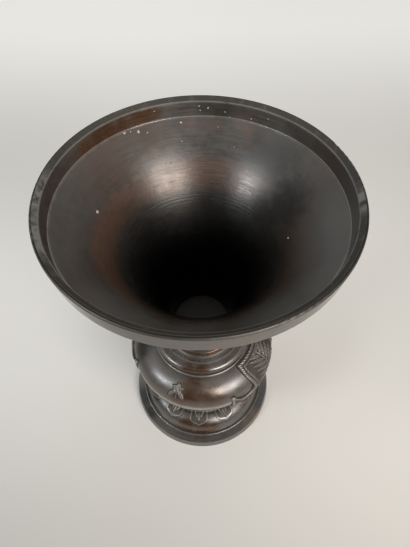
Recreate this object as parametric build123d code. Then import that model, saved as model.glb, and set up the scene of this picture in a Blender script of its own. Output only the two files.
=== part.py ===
"""Bronze gu-shaped vase: a flared trumpet mouth over a collar, a cushion-shaped bulb and a spread foot.

Units are millimetres, +Z is up, the origin is the centre of the resting face under the foot.
The front field of the bulb faces -Y and the two raised cartouche panels face +X and -X.
"""
import os
from math import cos, radians, sin

from build123d import *

os.makedirs("parts", exist_ok=True)

# Stack of the three castings and the collar
FOOT_HEIGHT = 54.0        # ground to the seat of the bulb
BULB_HEIGHT = 54.0        # seat of the bulb to the seat of the collar
COLLAR_HEIGHT = 7.5       # seat of the collar to the seat of the trumpet
TRUMPET_HEIGHT = 147.7    # seat of the trumpet to the rim

# Trumpet mouth
MOUTH_RADIUS = 85.0
LIP_THICKNESS = 4.3       # at the foot of the bevel
LIP_DEPTH = 11.8          # rim to the corner between lip and funnel
LIP_BEVEL = 2.4           # fall of the bevel inside the rim
LIP_ROUND = 1.6           # outer top edge of the lip
LIP_DRAFT = 1.0           # taper of the lip's outer wall
LIP_INNER_DRAFT = 1.4     # taper of the lip's inner wall
LIP_LINE = 0.6            # fine bead in the corner between lip and funnel
FLARE_ANGLE = 38.0        # slope of the funnel where it leaves the lip
FLARE_PULL = 36.0         # how far the flare keeps that slope
THROAT_PULL = 43.0        # how far the throat stays upright
THROAT_RADIUS = 20.2      # inside of the throat at the floor
FUNNEL_WALL = 3.0
NECK_RADIUS = 24.0        # outside of the neck and its spigot
NECK_BEAD = 2.1           # bead round the foot of the neck
WATER_DEPTH = 134.7       # rim to floor

# Floor of the throat, let in from below
FLOOR_LEDGE = 1.4         # shoulder that the floor plate bears up against
FLOOR_THICKNESS = 3.0
SOLDER_LEG = 1.6          # fillet of solder round the floor plate

# Collar
COLLAR_RING_RADIUS = 38.6
COLLAR_RING_HEIGHT = 6.2
COLLAR_STEP_RADIUS = 32.1
COLLAR_COVE = 0.7         # hollow in the top of the collar
COVE_START = 0.6          # flat between the neck bead and the hollow
COVE_END = 0.4            # flat between the hollow and the step's edge

# Bulb
BULB_RADIUS = 57.6
BULB_SHOULDER_RADIUS = 38.0
BULB_SHOULDER_RISE = 17.1     # widest level to the shoulder edge
BULB_BELLY_DROP = 30.9        # widest level to the underside
BULB_BASE_RADIUS = 36.0
BULB_BASE_STEP = 2.0
BULB_WALL = 3.2
SHOULDER_LINE = 0.9           # fine bead round the shoulder edge
PIN_GROOVE_DEPTH = 1.6        # groove under the collar that hides the neck pins

# Foot, from the waist down and outwards
WAIST_RADIUS = 34.5
WAIST_HEIGHT = 5.0
STEM_SPREAD = 7.5             # how far the hollow stem spreads before the cushion
CUSHION_ROUND = 14.3          # quarter round of the cushion
CUSHION_FOOT = 9.5            # level where the round starts
FOOT_GROOVE = 0.6             # groove between the cushion and its bead
FOOT_LINE = 1.4               # fine bead round the cushion
LEDGE_WIDTH = 6.3
FOOT_DRAFT = 1.3
FOOT_EDGE_HEIGHT = 7.2
FOOT_WALL = 3.2
FOOT_REST = 7.0               # width of the resting ring

# Spigot-and-socket joints
FIT = 0.15                    # radial clearance of each spigot
NECK_SPIGOT = 9.0             # below the top of the bulb
BULB_SPIGOT_RADIUS = 30.0
BULB_SPIGOT_WALL = 3.4
BULB_SPIGOT = 9.0             # below the seat of the bulb
PIN_RADIUS = 1.25
PIN_COUNT = 3

# Cartouche panels let into the bulb
PANEL_TOP_RADIUS = 40.4       # how near the panel comes to the axis on the shoulder
STRAP_ANGLE = 26.4            # half spread of the strap where it starts at the collar
STRAP_HALF = 22.3             # half width of the strap where it turns down the side
STRAP_PULL = 7.5              # how far the strap keeps its spread
STRAP_TURN = 50.0             # radius where the strap's edges run parallel
CUSP_RISE = 3.6               # strap meets lobe, above the widest level
HOOK_DIP = 2.3                # pull of the hollow between strap and horn, below the widest level
LOBE_HALF = 40.0
HORN_WIDTH = 3.0              # each lobe's upper edge ends in a horn with a ball
HORN_RISE = 5.4               # ball above the widest level
BALL_RADIUS = 1.7
LOBE_FOOT_HALF = 31.0
LOBE_DROP = 15.6              # underside of the lobes below the widest level
LOBE_TIP_DROP = 24.5          # middle tip below the widest level
PANEL_FIELD = 1.5             # height of the field above the bulb
PANEL_BORDER = 2.5            # height of the border above the bulb
PANEL_BORDER_WIDTH = 1.7
PANEL_RECESS = 0.8            # depth of the seat cut in the bulb
PANEL_GAP = 0.12
PEG_RADIUS = 1.2
PEG_SPACING = 13.0
PEG_GRIP = 1.2                # depth of the peg in the panel's back
PEG_END = 0.8                 # length left inside the bulb

# Small sprigs on the plain fields
SPRIG_RISE = 13.5             # height above the widest level
SPRIG_RELIEF = 1.3
SPRIG_PETAL = 2.2
SPRIG_PETAL_RING = 2.5
SPRIG_PETALS = 5
SPRIG_LEAF_LENGTH = 7.4
SPRIG_LEAF_WIDTH = 3.2
SPRIG_LEAF_SPREAD = 42.0

# Lappets over the top of the foot's cushion
LAPPET_COUNT = 12
LAPPET_TURN = 17.5            # the foot is turned against the bulb
LAPPET_WIDTH = 17.0
LAPPET_ROOT_WIDTH = 14.6
LAPPET_ROOT = 2.5             # root of the lappet, out from the waist
LAPPET_TIP = 3.8              # tip of the lappet, in from the cushion's outside
LAPPET_POINT = 6.4            # length of the pointed end
LAPPET_RELIEF = 1.1
LAPPET_BORDER = 1.5           # width of the raised border
LAPPET_SUNK = 0.5             # depth of the field inside the border

BULB_SEAT = FOOT_HEIGHT
COLLAR_SEAT = BULB_SEAT + BULB_HEIGHT
TRUMPET_SEAT = COLLAR_SEAT + COLLAR_HEIGHT
RIM = TRUMPET_SEAT + TRUMPET_HEIGHT
FLOOR = RIM - WATER_DEPTH
WIDEST = BULB_SEAT + BULB_BASE_STEP + BULB_BELLY_DROP
SHOULDER = WIDEST + BULB_SHOULDER_RISE
GROOVE_RADIUS = BULB_SHOULDER_RADIUS - PIN_GROOVE_DEPTH
FLOOR_RADIUS = THROAT_RADIUS + FLOOR_LEDGE
STEM_RADIUS = WAIST_RADIUS + STEM_SPREAD
CUSHION_RADIUS = STEM_RADIUS + CUSHION_ROUND
LEDGE_RADIUS = CUSHION_RADIUS + FOOT_GROOVE + FOOT_LINE + LEDGE_WIDTH
FOOT_RADIUS = LEDGE_RADIUS + FOOT_DRAFT


def turned(face, seam=0.0):
    """Spin a face drawn as (radius, height) round the vertical axis, from a chosen bearing."""
    return Rot(0, 0, seam) * revolve(Plane.XZ * face, axis=Axis.Z)


def named(shape, node):
    """Write one sub-part."""
    shape.label = node
    export_step(shape, "parts/" + node + ".step")


def radial_pins(inner, outer, height, radius, count, first):
    """Round pins that point at the axis, spaced evenly round it."""
    pins = []
    for index in range(count):
        angle = first + index * 360 / count
        pin = Pos(inner, 0, height) * Rot(0, 90, 0) * Cylinder(
            radius, outer - inner, align=(Align.CENTER, Align.CENTER, Align.MIN))
        pins.append(Rot(0, 0, angle) * pin)
    return pins


# The trumpet: upright lip, funnel, throat, bead and spigot
slope = radians(FLARE_ANGLE)
lip_corner = Vector(MOUTH_RADIUS - LIP_THICKNESS - LIP_INNER_DRAFT, RIM - LIP_DEPTH)
inner_pull = lip_corner + Vector(-cos(slope), -sin(slope)) * FLARE_PULL
throat_end = Vector(THROAT_RADIUS, FLOOR)
throat_pull = throat_end + Vector(0, THROAT_PULL)
wall_step = Vector(sin(slope), -cos(slope)) * FUNNEL_WALL
outer_corner = lip_corner + wall_step
outer_pull = inner_pull + wall_step
neck_end = Vector(NECK_RADIUS, FLOOR)
neck_pull = neck_end + Vector(0, THROAT_PULL)
lip_foot_radius = MOUTH_RADIUS - LIP_DRAFT
lip_foot_run = (lip_foot_radius - outer_corner.X) / cos(slope)
lip_foot = outer_corner + Vector(cos(slope), sin(slope)) * lip_foot_run
spigot_end = COLLAR_SEAT - NECK_SPIGOT
round_mid = LIP_ROUND * (1 - sin(radians(45)))

trumpet_outline = [
    Bezier(lip_corner, inner_pull, throat_pull, throat_end),
    Polyline(
        throat_end,
        (FLOOR_RADIUS, FLOOR),
        (FLOOR_RADIUS, spigot_end),
        (NECK_RADIUS, spigot_end),
        (NECK_RADIUS, TRUMPET_SEAT),
        (NECK_RADIUS + NECK_BEAD, TRUMPET_SEAT),
        (NECK_RADIUS + NECK_BEAD, TRUMPET_SEAT + NECK_BEAD / 2),
    ),
    ThreePointArc(
        (NECK_RADIUS + NECK_BEAD, TRUMPET_SEAT + NECK_BEAD / 2),
        (NECK_RADIUS + NECK_BEAD * 0.7, TRUMPET_SEAT + NECK_BEAD * 1.2),
        (NECK_RADIUS, TRUMPET_SEAT + NECK_BEAD * 1.5),
    ),
    Line((NECK_RADIUS, TRUMPET_SEAT + NECK_BEAD * 1.5), neck_end),
    Bezier(neck_end, neck_pull, outer_pull, outer_corner),
    Polyline(outer_corner, lip_foot, (MOUTH_RADIUS, RIM - LIP_ROUND)),
    ThreePointArc(
        (MOUTH_RADIUS, RIM - LIP_ROUND),
        (MOUTH_RADIUS - round_mid, RIM - round_mid),
        (MOUTH_RADIUS - LIP_ROUND, RIM),
    ),
    Polyline(
        (MOUTH_RADIUS - LIP_ROUND, RIM),
        (MOUTH_RADIUS - LIP_THICKNESS, RIM - LIP_BEVEL),
        lip_corner,
    ),
]
trumpet_face = make_face(trumpet_outline) + Pos(lip_corner) * Circle(LIP_LINE)
trumpet = turned(trumpet_face)

# The floor plate and the solder that seals it
floor_plate = Pos(0, 0, FLOOR) * Cylinder(
    FLOOR_RADIUS, FLOOR_THICKNESS, align=(Align.CENTER, Align.CENTER, Align.MAX))
solder_top = FLOOR - FLOOR_THICKNESS
floor_solder = turned(make_face(Polyline(
    (FLOOR_RADIUS, solder_top),
    (FLOOR_RADIUS - SOLDER_LEG, solder_top),
    (FLOOR_RADIUS, solder_top - SOLDER_LEG),
    close=True,
)))

# The collar ring between neck and bulb
ring_half = COLLAR_RING_HEIGHT / 2
ring_centre = COLLAR_RING_RADIUS - ring_half
cove_start = NECK_RADIUS + NECK_BEAD + COVE_START
cove_end = COLLAR_STEP_RADIUS - COVE_END
collar = turned(make_face([
    Line((NECK_RADIUS + FIT, COLLAR_SEAT), (ring_centre, COLLAR_SEAT)),
    ThreePointArc(
        (ring_centre, COLLAR_SEAT),
        (COLLAR_RING_RADIUS, COLLAR_SEAT + ring_half),
        (ring_centre, COLLAR_SEAT + COLLAR_RING_HEIGHT),
    ),
    Polyline(
        (ring_centre, COLLAR_SEAT + COLLAR_RING_HEIGHT),
        (COLLAR_STEP_RADIUS, COLLAR_SEAT + COLLAR_RING_HEIGHT),
        (COLLAR_STEP_RADIUS, TRUMPET_SEAT),
        (cove_end, TRUMPET_SEAT),
    ),
    ThreePointArc(
        (cove_end, TRUMPET_SEAT),
        ((cove_end + cove_start) / 2, TRUMPET_SEAT - COLLAR_COVE),
        (cove_start, TRUMPET_SEAT),
    ),
    Polyline(
        (cove_start, TRUMPET_SEAT),
        (NECK_RADIUS + FIT, TRUMPET_SEAT),
        (NECK_RADIUS + FIT, COLLAR_SEAT),
    ),
]))


# The bulb: two quarter ellipses that meet upright at the widest level
def bulb_curve(grow):
    """Outline of the bulb from shoulder to base, moved out by a thickness."""
    shoulder = EllipticalCenterArc(
        (BULB_SHOULDER_RADIUS, WIDEST),
        BULB_RADIUS - BULB_SHOULDER_RADIUS + grow,
        BULB_SHOULDER_RISE + grow,
        start_angle=0,
        arc_size=90,
    )
    belly = EllipticalCenterArc(
        (BULB_BASE_RADIUS, WIDEST),
        BULB_RADIUS - BULB_BASE_RADIUS + grow,
        BULB_BELLY_DROP + grow,
        start_angle=270,
        arc_size=90,
    )
    return shoulder, belly


def bulb_skin(inner, outer):
    """Band that follows the bulb between two heights above its surface."""
    inner_shoulder, inner_belly = bulb_curve(inner)
    outer_shoulder, outer_belly = bulb_curve(outer)
    top = Line((BULB_SHOULDER_RADIUS, SHOULDER + inner), (BULB_SHOULDER_RADIUS, SHOULDER + outer))
    base = WIDEST - BULB_BELLY_DROP
    bottom = Line((BULB_BASE_RADIUS, base - inner), (BULB_BASE_RADIUS, base - outer))
    outline = [inner_shoulder, inner_belly, outer_shoulder, outer_belly, top, bottom]
    return turned(make_face(outline), 90)


outer_shoulder, outer_belly = bulb_curve(0)
inner_shoulder, inner_belly = bulb_curve(-BULB_WALL)
ceiling = SHOULDER - BULB_WALL
basin = WIDEST - BULB_BELLY_DROP + BULB_WALL
bulb_bore = BULB_SPIGOT_RADIUS - BULB_SPIGOT_WALL
bulb_outline = [
    Polyline(
        (BULB_SHOULDER_RADIUS, SHOULDER),
        (GROOVE_RADIUS, SHOULDER),
        (GROOVE_RADIUS, COLLAR_SEAT),
        (NECK_RADIUS + FIT, COLLAR_SEAT),
        (NECK_RADIUS + FIT, ceiling),
        (BULB_SHOULDER_RADIUS, ceiling),
    ),
    inner_shoulder,
    inner_belly,
    Polyline(
        (BULB_BASE_RADIUS, basin),
        (bulb_bore, basin),
        (bulb_bore, BULB_SEAT - BULB_SPIGOT),
        (BULB_SPIGOT_RADIUS, BULB_SEAT - BULB_SPIGOT),
        (BULB_SPIGOT_RADIUS, BULB_SEAT),
        (BULB_BASE_RADIUS, BULB_SEAT),
        (BULB_BASE_RADIUS, BULB_SEAT + BULB_BASE_STEP),
    ),
    outer_belly,
    outer_shoulder,
]
shoulder_line = Pos(BULB_SHOULDER_RADIUS, SHOULDER) * Circle(SHOULDER_LINE)
bulb = turned(make_face(bulb_outline) + shoulder_line, 60)

# Panels: a strap drawn from above, and below it two lobes drawn on the plane that faces +X
facing = Plane(origin=(0, 0, 0), x_dir=(0, 1, 0), z_dir=(1, 0, 0))
panel_reach = BULB_RADIUS * 1.5
lobe_foot = WIDEST - LOBE_DROP
lobe_tip = WIDEST - LOBE_TIP_DROP


def strap_outline(grow):
    """Strap that runs out from the collar over the shoulder, widened by a margin."""
    spread = Vector(cos(radians(STRAP_ANGLE)), sin(radians(STRAP_ANGLE)))
    margin = Vector(0, grow)
    inner = spread * NECK_RADIUS + margin
    top = spread * PANEL_TOP_RADIUS + margin
    pull = spread * (PANEL_TOP_RADIUS + STRAP_PULL) + margin
    half_width = STRAP_HALF + grow
    half = make_face([
        Polyline((panel_reach, 0), (inner.X, 0), inner, top),
        Bezier(top, pull, (pull.X, half_width), (STRAP_TURN, half_width)),
        Polyline((STRAP_TURN, half_width), (panel_reach, half_width), (panel_reach, 0)),
    ])
    return half + mirror(half, about=Plane.XZ)


def lobe_outline(grow):
    """Two lobes with horned upper edges and a middle tip, widened by a margin."""
    cusp = Vector(STRAP_HALF + grow, WIDEST + CUSP_RISE + grow)
    lobe_half = LOBE_HALF + grow
    horn_level = WIDEST + HORN_RISE + grow * 3
    horn = Vector(LOBE_HALF - HORN_WIDTH - grow * 0.3, horn_level)
    shoulder = Vector(lobe_half, horn_level)
    foot = Vector(LOBE_FOOT_HALF, lobe_foot - grow)
    tip = Vector(0, lobe_tip - grow * 1.4)
    half = make_face([
        Line((0, WIDEST), cusp),
        Bezier(cusp, (STRAP_HALF * 1.2, WIDEST - HOOK_DIP + grow), (horn.X, WIDEST + grow), horn),
        Line(horn, shoulder),
        Bezier(shoulder, (lobe_half, WIDEST - HORN_RISE), (lobe_half, lobe_foot - grow), foot),
        Bezier(foot, (LOBE_FOOT_HALF * 0.77, foot.Y), (LOBE_FOOT_HALF * 0.32, foot.Y), tip),
        Line(tip, (0, WIDEST)),
    ])
    if grow > -BALL_RADIUS:
        half += Pos(LOBE_HALF - BALL_RADIUS, WIDEST + HORN_RISE) * Circle(BALL_RADIUS + grow)
    return half + mirror(half, about=Plane.YZ)


def panel_room(grow):
    """Space that a panel takes up, from the axis out past the bulb, widened by a margin."""
    strap = Pos(0, 0, WIDEST - HORN_RISE) * extrude(strap_outline(grow), BULB_HEIGHT)
    return strap + extrude(facing * lobe_outline(grow), panel_reach)


def collar_room(radius):
    """Space round the collar that the upper end of a panel stays out of."""
    return Pos(0, 0, COLLAR_SEAT) * Rot(0, 0, 90) * Cylinder(radius, BULB_HEIGHT)


panel = panel_room(0) & bulb_skin(-PANEL_RECESS, PANEL_BORDER)
sunk = panel_room(-PANEL_BORDER_WIDTH) & bulb_skin(PANEL_FIELD, PANEL_BORDER * 2)
sunk -= collar_room(PANEL_TOP_RADIUS + PANEL_BORDER_WIDTH)
panel = panel - sunk - collar_room(PANEL_TOP_RADIUS)
panel_seat = panel_room(PANEL_GAP) & bulb_skin(-PANEL_RECESS, PANEL_BORDER)
panel_seat -= collar_room(PANEL_TOP_RADIUS - PANEL_GAP)

# Pegs through the bulb's wall into the back of each panel
peg_levels = (WIDEST, WIDEST - PEG_SPACING)
pegs = []
for level in peg_levels:
    drop = (WIDEST - level) / BULB_BELLY_DROP
    surface = BULB_BASE_RADIUS + (BULB_RADIUS - BULB_BASE_RADIUS) * (1 - drop * drop) ** 0.5
    peg_outer = surface - PANEL_RECESS + PEG_GRIP
    peg_start = surface - BULB_WALL - PEG_END
    pegs += radial_pins(peg_start, peg_outer, level, PEG_RADIUS, 2, 0)
panel_pegs = Compound(children=pegs)
panel_right = panel - pegs[0] - pegs[2]
panel_left = Rot(0, 0, 180) * panel - pegs[1] - pegs[3]
for turn in (Rot(0, 0, 0), Rot(0, 0, 180)):
    bulb = bulb - turn * panel_seat
bulb = bulb - pegs

# Sprigs: a five-petalled blossom with two leaves, on a peg
sprig_height = WIDEST + SPRIG_RISE
rise = SPRIG_RISE / BULB_SHOULDER_RISE
shoulder_run = BULB_RADIUS - BULB_SHOULDER_RADIUS
sprig_radius = BULB_SHOULDER_RADIUS + shoulder_run * (1 - rise * rise) ** 0.5
lean = Vector(
    0,
    -(sprig_radius - BULB_SHOULDER_RADIUS) / shoulder_run ** 2,
    SPRIG_RISE / BULB_SHOULDER_RISE ** 2,
).normalized()
sprig_plane = Plane(origin=(0, -sprig_radius, sprig_height), x_dir=(1, 0, 0), z_dir=lean)
blossom = Circle(SPRIG_PETAL)
for index in range(SPRIG_PETALS):
    turn = Rot(0, 0, 90 + index * 360 / SPRIG_PETALS)
    blossom += turn * Pos(SPRIG_PETAL_RING, 0) * Circle(SPRIG_PETAL)
leaf_tip = (SPRIG_LEAF_LENGTH, 0)
leaf = make_face([
    ThreePointArc((0, 0), (SPRIG_LEAF_LENGTH / 2, SPRIG_LEAF_WIDTH / 2), leaf_tip),
    ThreePointArc((0, 0), (SPRIG_LEAF_LENGTH / 2, -SPRIG_LEAF_WIDTH / 2), leaf_tip),
])
for side in (-1, 1):
    angle = -90 + side * SPRIG_LEAF_SPREAD
    blossom += Rot(0, 0, angle) * Pos(SPRIG_PETAL_RING, 0) * leaf
sprig_prism = extrude(sprig_plane * blossom, BULB_WALL, both=True)
sprig_peg = extrude(sprig_plane * Circle(PEG_RADIUS), -(BULB_WALL + PEG_END))
sprig_relief = sprig_prism & bulb_skin(0, SPRIG_RELIEF)
sprig_front = sprig_relief + sprig_peg
sprig_back = Rot(0, 0, 180) * sprig_front
bulb = bulb - sprig_peg - Rot(0, 0, 180) * sprig_peg

# Pins that lock the neck's spigot in the bulb, hidden in the groove under the collar
neck_pin_level = (SHOULDER + SHOULDER_LINE + COLLAR_SEAT) / 2 + SHOULDER_LINE / 4
neck_pins = radial_pins(FLOOR_RADIUS, GROOVE_RADIUS, neck_pin_level, PIN_RADIUS, PIN_COUNT, 90)
bulb = bulb - neck_pins
trumpet = trumpet - neck_pins


# The foot: waist socket, hollow stem, cushion with lappets, ledge and resting ring
waist_foot = FOOT_HEIGHT - WAIST_HEIGHT
cushion_top = CUSHION_FOOT + CUSHION_ROUND
socket = BULB_SPIGOT_RADIUS + FIT
rest_radius = FOOT_RADIUS - FOOT_REST


def foot_curve(grow):
    """Outline of cushion and stem from the ledge up to the waist, moved out by a thickness."""
    cushion = CenterArc((STEM_RADIUS, CUSHION_FOOT), CUSHION_ROUND + grow, 0, 90)
    stem = EllipticalCenterArc(
        (STEM_RADIUS, waist_foot),
        STEM_SPREAD - grow,
        waist_foot - cushion_top - grow,
        start_angle=180,
        arc_size=90,
    )
    return cushion, stem


outer_cushion, outer_stem = foot_curve(0)
inner_cushion, inner_stem = foot_curve(-FOOT_WALL)
foot_outline = [
    Polyline(
        (CUSHION_RADIUS, CUSHION_FOOT),
        (CUSHION_RADIUS, FOOT_EDGE_HEIGHT),
        (LEDGE_RADIUS, FOOT_EDGE_HEIGHT),
        (FOOT_RADIUS, 0),
        (rest_radius, 0),
        (rest_radius, FOOT_EDGE_HEIGHT - FOOT_WALL),
        (CUSHION_RADIUS - FOOT_WALL, FOOT_EDGE_HEIGHT - FOOT_WALL),
        (CUSHION_RADIUS - FOOT_WALL, CUSHION_FOOT),
    ),
    inner_cushion,
    inner_stem,
    Polyline(
        (WAIST_RADIUS - FOOT_WALL, waist_foot),
        (socket, waist_foot),
        (socket, FOOT_HEIGHT),
        (WAIST_RADIUS, FOOT_HEIGHT),
        (WAIST_RADIUS, waist_foot),
    ),
    outer_stem,
    outer_cushion,
]
line_radius = CUSHION_RADIUS + FOOT_GROOVE + FOOT_LINE / 2
foot_line = Pos(line_radius, FOOT_EDGE_HEIGHT + FOOT_LINE / 2) * Circle(FOOT_LINE / 2)
foot_line += Pos(line_radius, FOOT_EDGE_HEIGHT) * Rectangle(FOOT_LINE, FOOT_LINE)
foot = turned(make_face(foot_outline) + foot_line, LAPPET_TURN + 180 / LAPPET_COUNT - 90)


def foot_skin(inner, outer):
    """Band that follows cushion and stem between two heights above their surface."""
    ends = [
        Line((CUSHION_RADIUS + inner, CUSHION_FOOT), (CUSHION_RADIUS + outer, CUSHION_FOOT)),
        Line((WAIST_RADIUS + inner, waist_foot), (WAIST_RADIUS + outer, waist_foot)),
    ]
    return turned(make_face([*foot_curve(inner), *foot_curve(outer), *ends]), 90)


# Lappets: tongues with a pointed end, drawn from above
root = WAIST_RADIUS + LAPPET_ROOT
tip = CUSHION_RADIUS - LAPPET_TIP
side = tip - LAPPET_POINT


def lappet_outline(grow):
    """Tongue that points away from the axis, widened by a margin."""
    half_width = LAPPET_WIDTH / 2 + grow
    half_root = LAPPET_ROOT_WIDTH / 2 + grow
    point = -tip - grow * 1.3
    half = make_face([
        Polyline((0, grow - root), (half_root, grow - root), (half_width, -side)),
        Bezier(
            (half_width, -side),
            (half_width * 1.05, -side - LAPPET_POINT * 0.7 - grow * 0.5),
            (half_width * 0.3, -side - LAPPET_POINT * 0.76 - grow),
            (0, point),
        ),
        Line((0, point), (0, grow - root)),
    ])
    return half + mirror(half, about=Plane.YZ)


lappet = extrude(lappet_outline(0), FOOT_HEIGHT) & foot_skin(-FOOT_WALL / 2, LAPPET_RELIEF)
lappet_field = foot_skin(LAPPET_RELIEF - LAPPET_SUNK, LAPPET_RELIEF * 2)
lappet -= extrude(lappet_outline(-LAPPET_BORDER), FOOT_HEIGHT) & lappet_field
lappets = [
    Rot(0, 0, LAPPET_TURN + index * 360 / LAPPET_COUNT) * lappet
    for index in range(LAPPET_COUNT)
]
foot = foot + lappets

# Pins that lock the bulb's spigot in the waist of the foot
foot_pin_level = FOOT_HEIGHT - WAIST_HEIGHT / 2
foot_pins = radial_pins(bulb_bore, WAIST_RADIUS, foot_pin_level, PIN_RADIUS, PIN_COUNT, 30)
foot = foot - foot_pins
bulb = bulb - foot_pins

named(trumpet, "mouth_trumpet")
named(floor_plate, "floor_plate")
named(floor_solder, "floor_solder")
named(collar, "neck_collar")
named(bulb, "bulb_body")
named(panel_right, "panel_right")
named(panel_left, "panel_left")
named(panel_pegs, "panel_pegs")
named(sprig_front, "sprig_front")
named(sprig_back, "sprig_back")
named(foot, "bell_foot")
named(Compound(children=neck_pins), "neck_pins")
named(Compound(children=foot_pins), "foot_pins")
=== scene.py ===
"""Looks of a bronze gu-shaped vase: patinated castings, chased relief, pale floor, soft light and camera.

Units are metres in the part's own frame: +Z up, the origin under the middle of the foot, the front field
of the bulb towards -Y and the raised panels towards +X and -X.
"""

from functools import lru_cache
from math import cos, pi, radians, sin

import bpy
import numpy as np
from mathutils import Matrix, Vector
from mathutils.bvhtree import BVHTree


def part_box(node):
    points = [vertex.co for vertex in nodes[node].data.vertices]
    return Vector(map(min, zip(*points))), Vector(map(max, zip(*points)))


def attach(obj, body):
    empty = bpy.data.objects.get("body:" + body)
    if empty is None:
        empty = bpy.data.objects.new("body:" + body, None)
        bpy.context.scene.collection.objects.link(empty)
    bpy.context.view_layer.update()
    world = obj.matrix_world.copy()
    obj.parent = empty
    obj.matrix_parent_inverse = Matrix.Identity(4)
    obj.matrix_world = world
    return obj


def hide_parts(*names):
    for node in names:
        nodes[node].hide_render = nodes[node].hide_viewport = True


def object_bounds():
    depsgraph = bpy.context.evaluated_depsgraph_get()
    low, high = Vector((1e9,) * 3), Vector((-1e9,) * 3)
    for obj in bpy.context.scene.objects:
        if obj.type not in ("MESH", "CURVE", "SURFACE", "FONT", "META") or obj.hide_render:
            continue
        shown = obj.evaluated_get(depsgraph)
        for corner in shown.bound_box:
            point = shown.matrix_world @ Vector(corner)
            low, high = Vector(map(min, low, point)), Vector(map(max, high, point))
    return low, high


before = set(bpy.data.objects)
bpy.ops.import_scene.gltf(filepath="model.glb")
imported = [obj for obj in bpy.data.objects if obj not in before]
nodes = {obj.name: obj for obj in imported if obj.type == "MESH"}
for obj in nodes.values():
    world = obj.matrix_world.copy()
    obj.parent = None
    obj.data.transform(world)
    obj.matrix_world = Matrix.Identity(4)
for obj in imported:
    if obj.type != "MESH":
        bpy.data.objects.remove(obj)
cad_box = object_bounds()
MM = 0.001

# Camera, as the photograph was taken
IMAGE_WIDTH = 410
IMAGE_HEIGHT = 547
FOCAL_PIXELS = 411.0
SENSOR = 36.0
VIEW_TURN = radians(23.5)         # bearing of the camera round the vase
CAMERA_SIDE = -1.96 * MM
CAMERA_BACK = 156.6 * MM
CAMERA_HEIGHT = 409.05 * MM
CAMERA_YAW = radians(1.75)
CAMERA_PITCH = radians(54.71)
CAMERA_ROLL = radians(-0.25)

# Trumpet, by height and by radius
RIM_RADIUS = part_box("mouth_trumpet")[1].x
RIM_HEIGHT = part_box("mouth_trumpet")[1].z
RIM_DULL_FROM = RIM_HEIGHT - 4.8 * MM
RIM_DULL_TO = RIM_HEIGHT - 3.6 * MM
RIM_SHADE_RADIUS = RIM_RADIUS - 1.8 * MM  # from here out the top of the rim is painted dark as painted shade
RIM_SHADE_EDGE = 0.6 * MM
# Painted shade inside the funnel, growing from the first height down to the second
DEPTH_SHADE_FROM = 249.0 * MM
DEPTH_SHADE_TO = 174.0 * MM
UNDERCOAT_HEIGHT = 224.5 * MM
UNDERCOAT_HALF = 12.0 * MM
UNDERCOAT_BEARING = radians(165)
FUNNEL_GROOVES = (213.5 * MM, 211.6 * MM, 209.5 * MM)
GROOVE_HALF = 0.5 * MM

# Turned edges that are rubbed bright, and at the neck a painted warm reflection: radius, height and half
# width
LIP_EDGE = (RIM_RADIUS - 4.3 * MM, RIM_HEIGHT - 2.5 * MM, 0.7 * MM)
FUNNEL_EDGE = (RIM_RADIUS - 5.7 * MM, RIM_HEIGHT - 11.8 * MM, 0.9 * MM)
NECK_BEAD = (25.2 * MM, 117.6 * MM, 1.8 * MM)
NECK_GLINT = (25.4 * MM, 116.3 * MM, 0.8 * MM)
COLLAR_EDGE = (32.0 * MM, 115.4 * MM, 1.1 * MM)
SHOULDER_EDGE = (38.4 * MM, 104.6 * MM, 0.7 * MM)
LEDGE_EDGE = (57.6 * MM, 8.5 * MM, 0.6 * MM)

# Bulb, as its casting is turned
BULB_RADIUS = (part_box("bulb_body")[1].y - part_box("bulb_body")[0].y) / 2
WIDEST = 86.9 * MM
SHOULDER_RADIUS = 38.0 * MM
SHOULDER_RISE = 17.1 * MM
BELLY_RADIUS = 36.0 * MM
BELLY_DROP = 30.9 * MM
# Paler belt on the bulb, a painted reflection of the floor along its lower outline
BULB_SHEEN_HEIGHT = 85.0 * MM
BULB_SHEEN_HALF = 5.0 * MM

# Cushion and stem of the foot
STEM_RADIUS = 42.0 * MM
STEM_SPREAD = 7.5 * MM
CUSHION_ROUND = 14.3 * MM
CUSHION_FOOT = 9.5 * MM
WAIST_FOOT = 49.0 * MM

# Outline of a panel: strap from above, lobes across and up
PANEL_TOP_RADIUS = 40.4 * MM
STRAP_ANGLE = radians(26.4)
STRAP_HALF = 22.3 * MM
STRAP_PULL = 7.5 * MM
STRAP_TURN = 50.0 * MM
CUSP_RISE = 3.6 * MM
HOOK_DIP = 2.3 * MM
LOBE_HALF = 40.0 * MM
HORN_WIDTH = 3.0 * MM
HORN_RISE = 5.4 * MM
BALL_RADIUS = 1.7 * MM
LOBE_FOOT_HALF = 31.0 * MM
LOBE_DROP = 15.6 * MM
LOBE_TIP_DROP = 24.5 * MM
PANEL_BORDER = 2.5 * MM
PANEL_FIELD = 1.3 * MM
PANEL_BACK = 0.8 * MM
BEAD_GAP = 1.1 * MM               # bead round the panel, out from its edge
BEAD_RADIUS = 0.32 * MM
BEAD_BACK = 0.1 * MM

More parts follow.
